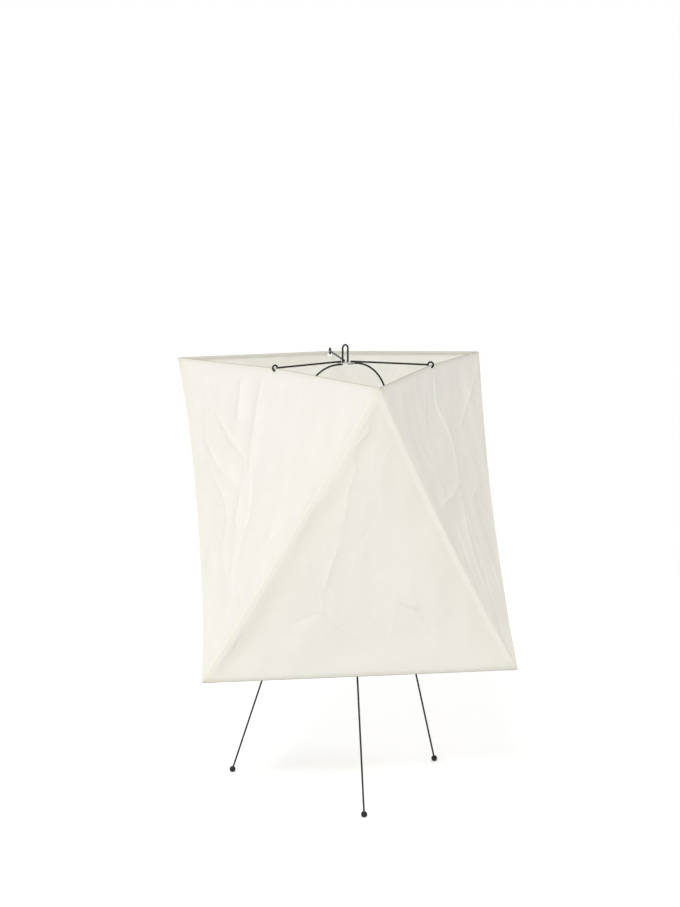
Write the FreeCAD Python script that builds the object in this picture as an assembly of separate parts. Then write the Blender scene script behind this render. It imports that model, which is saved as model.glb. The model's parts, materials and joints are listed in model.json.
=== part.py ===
import FreeCAD, Part
import math
import os

from FreeCAD import Vector

# Paper table lamp: a faceted shade of six paper panels between two wire triangles, hung on a wire harp.
# Millimetres. Z is up, the floor is at zero, the axis of the lamp is the Z axis.
# The harp lies in the XZ plane and the fixed leg points along +X.

# Shade
frame_side = 400.0
shade_base = 171.0
shade_height = 377.0
top_wire_lift = 4.8
seam_bow = 9.5
paper_thickness = 0.4
frame_wire = 2.0
hem_clearance = 0.2
corner_trim = 2.2
hem_flat = 3.0
edge_overrun = 12.0
sheet_overrun = 6.0

# Spider across the open top
arm_wire = 2.4
eyelet_bore = 4.6
eyelet_clearance = 0.05
notch_clearance = 0.4
hub_diameter = 25.0
hub_thickness = 1.0
arm_root = 7.5
weld_gap = 0.05
weld_bite = 0.48

# Harp with the upright hairpin
stand_wire = 2.4
harp_half_width = 71.0
harp_arch_radius = 57.5
harp_foot_radius = 10.0
harp_inset = 19.5
hairpin_gap = 6.2
hairpin_height = 24.6
hairpin_root_radius = 2.0
hairpin_foot = 10.0
hub_slot_clearance = 0.7
rest_gap = 0.3

# Legs
left_leg_angle = 122.0
front_leg_angle = 238.6
foot_circle = 157.0
leg_splay = 18.8
fixed_leg_splay = 15.5
leg_bend_radius = 8.0
fixed_leg_inset = 18.0
loop_stub = 4.0
foot_diameter = 8.0
foot_flat = 0.35
foot_press = 0.02

# Plate and clamped stack
plate_height = 226.0
plate_diameter = 52.0
plate_thickness = 1.6
lug_length = 4.0
lug_drop = 5.5
lug_setback = 0.5
nipple_diameter = 10.0
nipple_bore = 7.8
bore_clearance = 0.05
pivot_clearance = 0.08
stack_gap = 0.12
washer_diameter = 21.0
washer_thickness = 1.5
nut_across_flats = 14.0
nut_height = 4.0
nipple_tail = 4.0
nipple_proud = 1.0
bushing_flange = 12.0
bushing_flange_thickness = 2.0
bushing_depth = 6.0
cord_bore = 6.4

# Lamp holder
holder_diameter = 39.0
holder_wall = 2.2
holder_base_height = 22.0
holder_neck = 6.0
neck_overlap = 2.0
holder_flare = 5.0
holder_margin = 2.0
insert_thickness = 8.0
screw_shell_bore = 26.7
screw_shell_wall = 0.5
screw_shell_height = 20.0
screw_shell_rim = 3.0
skirt_height = 33.0
skirt_chamfer = 1.5
fit_gap = 0.1
contact_width = 5.0
contact_thickness = 0.6
contact_rise = 2.6
contact_root = 8.0
contact_bend = 3.5
contact_tip = 2.5
terminal_diameter = 4.0
terminal_height = 2.5
terminal_slot = 0.8

# Bulb
cap_diameter = 26.1
cap_height = 23.0
cap_wall = 0.6
cap_chamfer = 2.0
cap_shoulder = 1.0
cap_collar = 3.0
tip_diameter = 9.0
tip_height = 1.6
insulator_height = 2.6
insulator_ledge = 0.5
globe_diameter = 60.0
glass_wall = 1.0
neck_diameter = 28.0
neck_height = 6.0
neck_to_centre = 50.0

# Derived positions
corner_radius = frame_side / math.sqrt(3)
edge_radius = corner_radius / 2
shade_top = shade_base + shade_height
shade_middle = shade_base + shade_height / 2
wire_radius = frame_wire / 2
hem_inner = wire_radius + hem_clearance
hem_outer = hem_inner + paper_thickness
hem_bite = (hem_inner + hem_outer) / 2
panel_bow = seam_bow * math.cos(math.radians(30))
arm_radius = arm_wire / 2
eyelet_ring = eyelet_bore / 2 + arm_radius
arm_height = shade_top + top_wire_lift + eyelet_bore / 2 - wire_radius - eyelet_clearance
stand_radius = stand_wire / 2
hub_base = arm_height - arm_radius - weld_gap - hub_thickness
harp_height = hub_base - rest_gap - stand_radius
hairpin_half = hairpin_gap / 2 + stand_radius
plate_top = plate_height + plate_thickness
foot_height = foot_diameter / 2 - foot_flat
nipple_radius = nipple_diameter / 2
pivot_ring = nipple_radius + pivot_clearance + stand_radius
holder_seat = plate_top + stack_gap
insert_base = holder_seat + holder_base_height - holder_neck / 2
insert_top = insert_base + insert_thickness
contact_top = insert_top + fit_gap + contact_rise
tip_base = contact_top + rest_gap
cap_base = tip_base + tip_height + insulator_height
cap_top = cap_base + cap_height
globe_centre = cap_top + neck_height + neck_to_centre


def polar(radius, angle, height):
    turn = math.radians(angle)
    return Vector(radius * math.cos(turn), radius * math.sin(turn), height)


def turned(shape, angle):
    copy = shape.copy()
    copy.rotate(Vector(0, 0, 0), Vector(0, 0, 1), angle)
    return copy


def bent_path(corners, radii):
    edges = []
    start = corners[0]
    for before, corner, after, radius in zip(corners, corners[1:], corners[2:], radii):
        back = (before - corner).normalize()
        onward = (after - corner).normalize()
        half = back.getAngle(onward) / 2
        first = corner + back * (radius / math.tan(half))
        last = corner + onward * (radius / math.tan(half))
        middle = corner + (back + onward).normalize() * (radius / math.sin(half) - radius)
        if (first - start).Length > 0.001:
            edges.append(Part.LineSegment(start, first).toShape())
        edges.append(Part.Arc(first, middle, last).toShape())
        start = last
    edges.append(Part.LineSegment(start, corners[-1]).toShape())
    return Part.Wire(edges)


def rod(path, radius):
    edge = path.Edges[0]
    start = edge.valueAt(edge.FirstParameter)
    along = edge.tangentAt(edge.FirstParameter)
    ring = Part.Wire([Part.Circle(start, along, radius).toShape()])
    return path.makePipeShell([ring], True, False)


def turned_solid(points):
    outline = Part.makePolygon([Vector(r, 0, z) for r, z in points + points[:1]])
    return Part.Face(outline).revolve(Vector(0, 0, 0), Vector(0, 0, 1), 360)


def tube(outer, inner, low, high):
    return turned_solid([(inner, low), (outer, low), (outer, high), (inner, high)])


def hexagon(across_flats, bore_radius, low, height):
    corners = [polar(across_flats / math.sqrt(3), 60 * k, low) for k in range(7)]
    block = Part.Face(Part.makePolygon(corners)).extrude(Vector(0, 0, height))
    return block.cut(Part.makeCylinder(bore_radius, height, Vector(0, 0, low)))


def one(shape):
    return shape.removeSplitter().Solids[0]


os.makedirs("parts", exist_ok=True)


def save(name, *solids):
    shape = solids[0] if len(solids) == 1 else Part.makeCompound(list(solids))
    shape.exportStep("parts/" + name + ".step")


# Paper panels. Each one is curved only along its height, so it bends like a flat sheet.


def panel_radius(height, base, apex):
    along = (height - base) / (apex - base)
    return edge_radius * (1 + along) - 4 * panel_bow * along * (1 - along)


def panel_slope(height, base, apex):
    along = (height - base) / (apex - base)
    return (edge_radius - 4 * panel_bow * (1 - 2 * along)) / (apex - base)


def wedge(apex_height, base_height):
    centre = Vector(0, 0, shade_middle)
    axis = (Vector(corner_radius, 0, apex_height) - centre).normalize()
    far = 4 * frame_side
    start = centre - axis * far
    corners = [start]
    for side in (-1, 1):
        seam = Vector(edge_radius, side * frame_side / 2, base_height) - centre
        corners.append(start + (seam - axis * seam.dot(axis)).normalize() * far)
    corners.append(start)
    return Part.Face(Part.makePolygon(corners)).extrude(axis * (2 * far))


def edge_frame(base, apex):
    outward = Vector(panel_slope(base, base, apex), 0, 1).normalize()
    if apex > base:
        outward = outward * -1
    return Vector(edge_radius, 0, base), outward


def edge_line(base, apex, lift):
    middle, outward = edge_frame(base, apex)
    corner = middle - Vector(0, frame_side / 2, 0)
    run = (middle + outward * lift - corner).normalize()
    return corner - run * edge_overrun, run * (frame_side / 2 + 2 * edge_overrun)


def edge_rod(base, apex, lift, radius):
    start, run = edge_line(base, apex, lift)
    return Part.makeCylinder(radius, run.Length, start, run)


def sheet(base, apex, lift):
    up = 1 if apex > base else -1
    low = base - up * (lift + sheet_overrun)
    bend = base + up * hem_flat
    high = apex - up * corner_trim
    middle = (bend + high) / 2
    slope = panel_slope(base, base, apex)
    straight = [Vector(edge_radius + slope * (z - base), -frame_side, z) for z in (low, bend, middle)]
    tip = Vector(panel_radius(high, base, apex), -frame_side, high)
    skins = []
    for side in (-0.5, 0.5):
        shift = Vector(side * paper_thickness, 0, 0)
        flat = Part.LineSegment(straight[0] + shift, straight[1] + shift).toShape()
        curve = Part.BezierCurve()
        curve.setPoles([straight[1] + shift, straight[2] + shift, tip + shift])
        skins.append([flat, curve.toShape()])
    half_paper = Vector(paper_thickness / 2, 0, 0)
    caps = [Part.LineSegment(end - half_paper, end + half_paper).toShape() for end in (straight[0], tip)]
    outline = Part.Wire(skins[0] + [caps[1]] + skins[1][::-1] + [caps[0]])
    strip = Part.Face(outline).extrude(Vector(0, 2 * frame_side, 0))
    start, run = edge_line(base, apex, lift)
    outward = edge_frame(base, apex)[1]
    first = start - outward * hem_bite
    deep = outward * (-2 * frame_side)
    across = Vector(0, 1, 0).cross(outward)
    keep = Part.Face(Part.makePolygon([first, first + run, first + run + deep, first + deep, first]))
    keep.translate(across * -frame_side)
    return strip.common(keep.extrude(across * (2 * frame_side)))


def mirrored(shape):
    return shape.mirror(Vector(0, 0, 0), Vector(0, 1, 0))


def half_sector():
    far = 2 * frame_side
    corners = [Vector(0, 0, -far), polar(far, -60, -far), Vector(far, 0, -far)]
    return Part.Face(Part.makePolygon(corners + corners[:1])).extrude(Vector(0, 0, 3 * far))


def panel(base, apex, lift):
    paper = sheet(base, apex, lift).fuse(edge_rod(base, apex, lift, hem_outer))
    paper = paper.common(wedge(apex, base)).common(half_sector())
    hollow = edge_rod(base, apex, lift, hem_inner)
    half = paper.cut([hollow, turned(mirrored(hollow), -120)])
    return one(half.fuse(mirrored(half)))


def frame(base, apex, lift):
    half = edge_rod(base, apex, lift, wire_radius).common(half_sector())
    return one(half.fuse(mirrored(half)))


# Shade

rising = panel(shade_base, shade_top, 0)
top_middle, up_panel = edge_frame(shade_top, shade_base)
arch_lift = top_wire_lift / up_panel.z
falling = panel(shade_top, shade_base, arch_lift)
eyelet = top_middle + up_panel * arch_lift
eyelet.z = arm_height
notch_half = arm_radius + notch_clearance
notch_depth = eyelet_ring + arm_radius + notch_clearance
notch_origin = eyelet - Vector(notch_depth, notch_half, notch_depth)
falling = one(falling.cut(Part.makeBox(2 * notch_depth, 2 * notch_half, 3 * notch_depth, notch_origin)))

save("rising_panel_rear", rising)
save("rising_panel_left", turned(rising, 120))
save("rising_panel_front", turned(rising, 240))
save("falling_panel_back", turned(falling, 60))
save("falling_panel_left", turned(falling, 180))
save("falling_panel_right", turned(falling, 300))

top_wire = frame(shade_top, shade_base, arch_lift)
bottom_wire = frame(shade_base, shade_top, 0)
save("top_frame", *[turned(top_wire, angle) for angle in (60, 180, 300)])
save("bottom_frame", *[turned(bottom_wire, angle) for angle in (0, 120, 240)])

arm_end = eyelet.x - eyelet_ring - weld_bite
arm = Part.makeCylinder(arm_radius, arm_end - arm_root, Vector(arm_root, 0, arm_height), Vector(1, 0, 0))
arm = one(arm.fuse(Part.makeTorus(eyelet_ring, arm_radius, eyelet, Vector(0, 1, 0))))
save("arm_back", turned(arm, 60))
save("arm_left", turned(arm, 180))
save("arm_right", turned(arm, 300))

hub_slot_length = 2 * (hairpin_half + stand_radius + hub_slot_clearance)
hub_slot_width = stand_wire + 2 * hub_slot_clearance
slot_origin = Vector(-hub_slot_length / 2, -hub_slot_width / 2, hub_base)
slot = Part.makeBox(hub_slot_length, hub_slot_width, hub_thickness, slot_origin)
disc = Part.makeCylinder(hub_diameter / 2, hub_thickness, Vector(0, 0, hub_base))
save("hub_disc", disc.cut(slot))

# Harp: one wire from the plate, up, over and back, with the hairpin in the middle of the arch.
# The wire is cut beside the hairpin into two arms and the hairpin, which stay joined end to end.

harp_foot = plate_top + weld_gap + stand_radius
hairpin_top = harp_height + hairpin_height
arm_corners = [
    Vector(harp_inset, 0, harp_foot),
    Vector(harp_half_width, 0, harp_foot),
    Vector(harp_half_width, 0, harp_height),
    Vector(hairpin_foot, 0, harp_height),
]
harp_arm = rod(bent_path(arm_corners, [harp_foot_radius, harp_arch_radius]), stand_radius)
save("harp_rear_arm", harp_arm)
save("harp_front_arm", turned(harp_arm, 180))

half_hairpin = [
    Vector(hairpin_foot, 0, harp_height),
    Vector(hairpin_half, 0, harp_height),
    Vector(hairpin_half, 0, hairpin_top),
]
hairpin_corners = half_hairpin + [Vector(-p.x, 0, p.z) for p in reversed(half_hairpin)]
hairpin_radii = [hairpin_root_radius, hairpin_half]
save("hairpin", rod(bent_path(hairpin_corners, hairpin_radii + hairpin_radii[::-1]), stand_radius))

# Legs: a level spoke, a bend and a straight splayed leg down into the foot.
# A folding leg's wire is cut beside the loop that turns on the nipple, and stays joined to it end to end.


def leg(start, spoke_height, splay_angle):
    knee = foot_circle - math.tan(math.radians(splay_angle)) * (spoke_height - foot_height)
    corners = [
        Vector(start, 0, spoke_height),
        Vector(knee, 0, spoke_height),
        Vector(foot_circle, 0, foot_height),
    ]
    return rod(bent_path(corners, [leg_bend_radius]), stand_radius)


def pivot_loop(spoke_height):
    start = Vector(pivot_ring + weld_bite, 0, spoke_height)
    stub = Part.makeCylinder(stand_radius, pivot_ring + loop_stub - start.x, start, Vector(1, 0, 0))
    loop = Part.makeTorus(pivot_ring, stand_radius, Vector(0, 0, spoke_height))
    return one(stub.fuse(loop))


def foot(splay_angle):
    centre = Vector(foot_circle, 0, foot_height)
    up_leg = Vector(-math.tan(math.radians(splay_angle)), 0, 1)
    ball = Part.makeSphere(foot_diameter / 2, centre)
    ball = ball.cut(Part.makeCylinder(stand_radius + foot_press, foot_diameter, centre, up_leg))
    sole = Part.makeBox(foot_diameter, foot_diameter, foot_diameter)
    sole.translate(Vector(foot_circle - foot_diameter / 2, -foot_diameter / 2, -foot_diameter))
    return one(ball.cut(sole))


left_height = plate_height - stack_gap - stand_radius
front_height = left_height - stand_wire - stack_gap
spoke_start = pivot_ring + loop_stub
save("rear_leg", leg(fixed_leg_inset, plate_height - weld_gap - stand_radius, fixed_leg_splay))
save("left_leg", turned(leg(spoke_start, left_height, leg_splay), left_leg_angle))
save("left_leg_loop", turned(pivot_loop(left_height), left_leg_angle))
save("front_leg", turned(leg(spoke_start, front_height, leg_splay), front_leg_angle))
save("front_leg_loop", turned(pivot_loop(front_height), front_leg_angle))
save("rear_foot", foot(fixed_leg_splay))
save("left_foot", turned(foot(leg_splay), left_leg_angle))
save("front_foot", turned(foot(leg_splay), front_leg_angle))

# Plate with two lugs bent down at its rim, which hold the folding legs open

plate = Part.makeCylinder(plate_diameter / 2, plate_thickness, Vector(0, 0, plate_height))
for angle, side in ((left_leg_angle, 1), (front_leg_angle, -1)):
    inner_face = side * (stand_radius + rest_gap)
    low_face = min(inner_face, inner_face + side * plate_thickness)
    origin = Vector(plate_diameter / 2 - lug_length, low_face, plate_height - lug_drop)
    lug = Part.makeBox(lug_length - lug_setback, plate_thickness, lug_drop + plate_thickness / 2, origin)
    plate = plate.fuse(turned(lug, angle))
plate_bore = Part.makeCylinder(nipple_radius + bore_clearance, plate_thickness, Vector(0, 0, plate_height))
save("plate", one(plate.cut(plate_bore)))

# Clamped stack under the plate

washer_top = front_height - stand_radius - stack_gap
nut_top = washer_top - washer_thickness - weld_gap
nut_base = nut_top - nut_height
nipple_base = nut_base - nipple_tail
base_floor = holder_seat + 2 * holder_wall
nipple_top = base_floor + stack_gap + nut_height + nipple_proud
bore = nipple_radius + bore_clearance
save("washer", tube(washer_diameter / 2, bore, washer_top - washer_thickness, washer_top))
save("lower_nut", hexagon(nut_across_flats, bore, nut_base, nut_height))
save("upper_nut", hexagon(nut_across_flats, bore, base_floor + stack_gap, nut_height))
save("nipple", tube(nipple_radius, nipple_bore / 2, nipple_base, nipple_top))

flange_top = nipple_base - weld_gap
flange_base = flange_top - bushing_flange_thickness
plug_radius = nipple_bore / 2 - bore_clearance
bushing = [
    (cord_bore / 2, flange_base),
    (bushing_flange / 2, flange_base),
    (bushing_flange / 2, flange_top),
    (plug_radius, flange_top),
    (plug_radius, flange_top + bushing_depth),
    (cord_bore / 2, flange_top + bushing_depth),
]
save("cord_bushing", turned_solid(bushing))

# Lamp holder

holder_radius = holder_diameter / 2
neck_radius = holder_radius - holder_wall
shoulder = holder_seat + holder_base_height - holder_neck
neck_top = shoulder + holder_neck + neck_overlap
base_bore = neck_radius - holder_wall
foot_edge = harp_inset - holder_margin
base_outline = [
    (bore, holder_seat),
    (foot_edge, holder_seat),
    (holder_radius, holder_seat + holder_flare),
    (holder_radius, shoulder),
    (neck_radius, shoulder),
    (neck_radius, neck_top),
    (base_bore, neck_top),
    (base_bore, base_floor),
    (bore, base_floor),
]
save("holder_base", turned_solid(base_outline))

insert_radius = base_bore - fit_gap
shell_outer = screw_shell_bore / 2 + screw_shell_wall
insert = Part.makeCylinder(insert_radius, insert_thickness, Vector(0, 0, insert_base))
pocket = terminal_diameter / 2 + fit_gap
screw_circle = insert_radius - terminal_diameter
terminals = [polar(screw_circle, angle, insert_base - terminal_height / 2) for angle in (90, 270)]
for spot in terminals:
    mouth = spot + Vector(0, 0, terminal_height / 2)
    insert = insert.cut(Part.makeCylinder(pocket, terminal_height / 2 + fit_gap, mouth))
save("holder_insert", one(insert))
heads = []
for spot in terminals:
    head = Part.makeCylinder(terminal_diameter / 2, terminal_height, spot)
    corner = spot - Vector(terminal_diameter, terminal_slot / 2, 0)
    drive = Part.makeBox(2 * terminal_diameter, terminal_slot, terminal_slot, corner)
    heads.append(head.cut(drive))
save("terminal_screws", *heads)

shell_base = insert_top + fit_gap
shell_outline = [
    (screw_shell_bore / 2 - screw_shell_rim, shell_base),
    (shell_outer, shell_base),
    (shell_outer, shell_base + screw_shell_height),
    (screw_shell_bore / 2, shell_base + screw_shell_height),
    (screw_shell_bore / 2, shell_base + screw_shell_wall),
    (screw_shell_bore / 2 - screw_shell_rim, shell_base + screw_shell_wall),
]
save("screw_shell", turned_solid(shell_outline))

skirt_base = shoulder + fit_gap
skirt_step = neck_top + fit_gap
skirt_inner = shell_outer + 2 * fit_gap
skirt_outline = [
    (neck_radius + fit_gap, skirt_base),
    (holder_radius, skirt_base),
    (holder_radius, skirt_base + skirt_height - skirt_chamfer),
    (holder_radius - skirt_chamfer, skirt_base + skirt_height),
    (skirt_inner, skirt_base + skirt_height),
    (skirt_inner, insert_top + 2 * fit_gap),
    (neck_radius + fit_gap, insert_top + 2 * fit_gap),
]
save("holder_skirt", turned_solid(skirt_outline))

tongue = [
    (-contact_root, shell_base),
    (-contact_bend, shell_base),
    (0, contact_top - contact_thickness),
    (contact_tip, contact_top - contact_thickness),
]
tongue_line = [Vector(x, 0, z) for x, z in tongue]
tongue_back = [Vector(x, 0, z + contact_thickness) for x, z in reversed(tongue)]
tongue_face = Part.Face(Part.makePolygon(tongue_line + tongue_back + tongue_line[:1]))
tongue_face.translate(Vector(0, -contact_width / 2, 0))
save("centre_contact", tongue_face.extrude(Vector(0, contact_width, 0)))

# Bulb

cap_radius = cap_diameter / 2
insulator_base = tip_base + tip_height
save("bulb_tip", turned_solid([
    (0, tip_base),
    (tip_diameter / 4, tip_base),
    (tip_diameter / 2, tip_base + tip_height / 2),
    (tip_diameter / 2, insulator_base),
    (0, insulator_base),
]))
save("bulb_insulator", turned_solid([
    (0, insulator_base),
    (tip_diameter / 2 + insulator_ledge, insulator_base),
    (cap_radius - cap_chamfer, cap_base),
    (0, cap_base),
]))
save("bulb_cap", turned_solid([
    (0, cap_base),
    (cap_radius - cap_chamfer, cap_base),
    (cap_radius, cap_base + cap_chamfer),
    (cap_radius, cap_top - cap_shoulder),
    (neck_diameter / 2 + cap_wall, cap_top),
    (neck_diameter / 2 + cap_wall, cap_top + cap_collar),
    (neck_diameter / 2 + fit_gap / 2, cap_top + cap_collar),
    (neck_diameter / 2 + fit_gap / 2, cap_top),
    (cap_radius - cap_wall, cap_top - cap_shoulder),
    (cap_radius - cap_wall, cap_base + cap_chamfer),
    (0, cap_base + cap_chamfer),
]))


def glass_outline(inset):
    neck = neck_diameter / 2 - inset
    globe = globe_diameter / 2 - inset
    shoulder_height = cap_top + neck_height
    flare = Part.BezierCurve()
    flare.setPoles([
        Vector(neck, 0, shoulder_height),
        Vector(neck, 0, shoulder_height + 0.35 * neck_to_centre),
        Vector(globe, 0, globe_centre - 0.5 * neck_to_centre),
        Vector(globe, 0, globe_centre),
    ])
    over = globe * math.sqrt(0.5)
    dome = Part.Arc(
        Vector(globe, 0, globe_centre),
        Vector(over, 0, globe_centre + over),
        Vector(0, 0, globe_centre + globe),
    )
    start = Part.LineSegment(Vector(neck, 0, cap_top), Vector(neck, 0, shoulder_height))
    return [start.toShape(), flare.toShape(), dome.toShape()]


outside = glass_outline(0)
inside = glass_outline(glass_wall)
crown = globe_centre + globe_diameter / 2
top_line = Part.LineSegment(Vector(0, 0, crown), Vector(0, 0, crown - glass_wall)).toShape()
rim_line = Part.LineSegment(
    Vector(neck_diameter / 2 - glass_wall, 0, cap_top), Vector(neck_diameter / 2, 0, cap_top)
).toShape()
glass = Part.Wire(outside + [top_line] + inside[::-1] + [rim_line])
save("bulb_glass", Part.Face(glass).revolve(Vector(0, 0, 0), Vector(0, 0, 1), 360))
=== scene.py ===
import json
import math
import random

import bpy
import numpy as np
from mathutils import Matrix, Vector, noise


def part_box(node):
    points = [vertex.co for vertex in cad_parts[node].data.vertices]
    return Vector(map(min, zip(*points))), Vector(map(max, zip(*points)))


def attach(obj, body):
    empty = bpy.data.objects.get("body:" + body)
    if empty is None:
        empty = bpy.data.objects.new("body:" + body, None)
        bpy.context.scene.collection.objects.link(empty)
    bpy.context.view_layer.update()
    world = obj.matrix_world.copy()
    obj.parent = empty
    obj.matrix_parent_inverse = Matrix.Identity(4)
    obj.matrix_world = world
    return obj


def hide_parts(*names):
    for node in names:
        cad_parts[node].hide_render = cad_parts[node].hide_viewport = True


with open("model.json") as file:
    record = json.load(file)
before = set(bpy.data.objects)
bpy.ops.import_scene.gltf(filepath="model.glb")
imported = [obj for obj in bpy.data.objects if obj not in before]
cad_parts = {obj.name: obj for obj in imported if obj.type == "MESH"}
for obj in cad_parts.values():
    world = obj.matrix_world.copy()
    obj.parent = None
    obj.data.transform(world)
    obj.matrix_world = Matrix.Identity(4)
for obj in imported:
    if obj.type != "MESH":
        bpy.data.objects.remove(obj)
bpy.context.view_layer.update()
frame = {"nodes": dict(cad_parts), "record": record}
nodes = frame["nodes"]
scene = bpy.context.scene
scene.view_settings.view_transform = "Standard"
print("frame loaded:", len(nodes), "nodes")

# camera

cameraSetup = {
    "place": (-2.0675, -2.4562, 0.9369),
    "yaw": 50.03,  # degrees from +X
    "pitch": 8.888,  # degrees down
    "lens": 100.62,  # mm
    "sensor": 36,  # mm, long side of the picture
    "clip": (0.05, 60),
}


def buildCamera(setup):
    yaw, pitch = math.radians(setup["yaw"]), math.radians(setup["pitch"])
    level = math.cos(pitch)
    look = Vector((math.cos(yaw) * level, math.sin(yaw) * level, -math.sin(pitch)))
    data = bpy.data.cameras.new("viewCamera")
    data.lens = setup["lens"]
    data.sensor_width = setup["sensor"]
    data.clip_start, data.clip_end = setup["clip"]
    camera = bpy.data.objects.new("viewCamera", data)
    camera.location = setup["place"]
    camera.rotation_mode = "QUATERNION"
    camera.rotation_quaternion = look.to_track_quat("-Z", "Y")
    scene.collection.objects.link(camera)
    scene.camera = camera


buildCamera(cameraSetup)
print("camera set")

# node helpers


def addNode(tree, kind, **settings):
    node = tree.nodes.new(kind)
    for name, value in settings.items():
        setattr(node, name, value)
    return node


def setSocket(tree, socket, value):
    if isinstance(value, bpy.types.NodeSocket):
        tree.links.new(value, socket)
    elif isinstance(value, tuple) and len(value) == 3 and socket.type == "RGBA":
        socket.default_value = (*value, 1)
    else:
        socket.default_value = value


def math2(tree, operation, first, second=0.0, clamp=False):
    node = addNode(tree, "ShaderNodeMath", operation=operation, use_clamp=clamp)
    setSocket(tree, node.inputs[0], first)
    setSocket(tree, node.inputs[1], second)
    return node.outputs[0]


def remap(tree, value, low, high, toLow=0.0, toHigh=1.0):
    node = addNode(tree, "ShaderNodeMapRange", interpolation_type="SMOOTHSTEP")
    for socket, amount in zip(node.inputs[:5], (value, low, high, toLow, toHigh)):
        setSocket(tree, socket, amount)
    return node.outputs[0]


def blendColour(tree, share, first, second, mode="MIX"):
    node = addNode(tree, "ShaderNodeMix", data_type="RGBA", blend_type=mode)
    setSocket(tree, node.inputs[0], share)
    setSocket(tree, node.inputs[6], first)
    setSocket(tree, node.inputs[7], second)
    return node.outputs[2]


def noiseAt(tree, place, scale, detail=3.0, rough=0.5, stretch=None):
    if stretch:
        mapping = addNode(tree, "ShaderNodeMapping")
        setSocket(tree, mapping.inputs["Vector"], place)
        mapping.inputs["Scale"].default_value = stretch
        place = mapping.outputs[0]
    node = addNode(tree, "ShaderNodeTexNoise")
    setSocket(tree, node.inputs["Vector"], place)
    setSocket(tree, node.inputs["Scale"], scale)
    node.inputs["Detail"].default_value = detail
    node.inputs["Roughness"].default_value = rough
    return node.outputs[0]


def newGroup(name, inputs, outputs):
    tree = bpy.data.node_groups.new(name, "ShaderNodeTree")
    for label, kind, value in inputs:
        socket = tree.interface.new_socket(label, in_out="INPUT", socket_type=kind)
        socket.default_value = value
    for label, kind in outputs:
        tree.interface.new_socket(label, in_out="OUTPUT", socket_type=kind)
    return tree, tree.nodes.new("NodeGroupInput"), tree.nodes.new("NodeGroupOutput")


def useGroup(tree, group, **values):
    node = tree.nodes.new("ShaderNodeGroup")
    node.node_tree = group
    for label, value in values.items():
        setSocket(tree, node.inputs[label], value)
    return node


def newMaterial(name):
    material = bpy.data.materials.new(name)
    material.use_nodes = True
    tree = material.node_tree
    return material, tree, tree.nodes["Principled BSDF"]


def objectPlace(tree):
    return addNode(tree, "ShaderNodeTexCoord").outputs["Object"]


def bumpFrom(tree, height, distance, strength=1.0):
    node = addNode(tree, "ShaderNodeBump")
    node.inputs["Strength"].default_value = strength
    node.inputs["Distance"].default_value = distance
    tree.links.new(height, node.inputs["Height"])
    return node.outputs[0]


# stage: pale floor, white behind, soft lamps

stageLight = {
    "worldColour": (1.0, 0.995, 0.985),
    "worldStrength": 0.670,
    "floorColour": (0.90, 0.90, 0.90),
    "floorGlow": 0.26,  # what the camera sees on top of the lit floor
    "floorReach": 14,  # half its side
    "floorFade": (0.7, 1.6),  # distance over which it turns plain white
    "aim": (0, 0, 0.33),  # where the lamps point
    "lamps": [  # name, place, size, watts, colour
        ("keyLamp", (-6.10, -4.36, 7.37), 2.9, 492, (1.0, 0.99, 0.97)),
        ("sideLamp", (-2.30, 0.40, 0.8), 1.6, 3.4, (1.0, 0.99, 0.97)),
        ("topLamp", (1.4, 1.8, 4.87), 3.2, 42, (1.0, 1.0, 1.0)),
    ],
}


def seenDirectly(tree):
    path = tree.nodes.new("ShaderNodeLightPath")
    share = math2(tree, "MAXIMUM", path.outputs["Is Camera Ray"], path.outputs["Is Glossy Ray"])
    share = math2(tree, "MAXIMUM", share, path.outputs["Is Transmission Ray"])
    return math2(tree, "SUBTRACT", share, path.outputs["Is Diffuse Ray"], clamp=True)


def mixShaders(tree, share, first, second):
    node = addNode(tree, "ShaderNodeMixShader")
    setSocket(tree, node.inputs[0], share)
    tree.links.new(first.outputs[0], node.inputs[1])
    tree.links.new(second.outputs[0], node.inputs[2])
    return node


def buildWorld(setup):
    world = bpy.data.worlds.new("studio")
    world.use_nodes = True
    scene.world = world
    tree = world.node_tree
    lit = tree.nodes["Background"]
    lit.inputs["Color"].default_value = (*setup["worldColour"], 1)
    lit.inputs["Strength"].default_value = setup["worldStrength"]
    white = addNode(tree, "ShaderNodeBackground")
    white.inputs["Color"].default_value = (1, 1, 1, 1)
    mix = mixShaders(tree, seenDirectly(tree), lit, white)
    tree.links.new(mix.outputs[0], tree.nodes["World Output"].inputs["Surface"])


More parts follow.
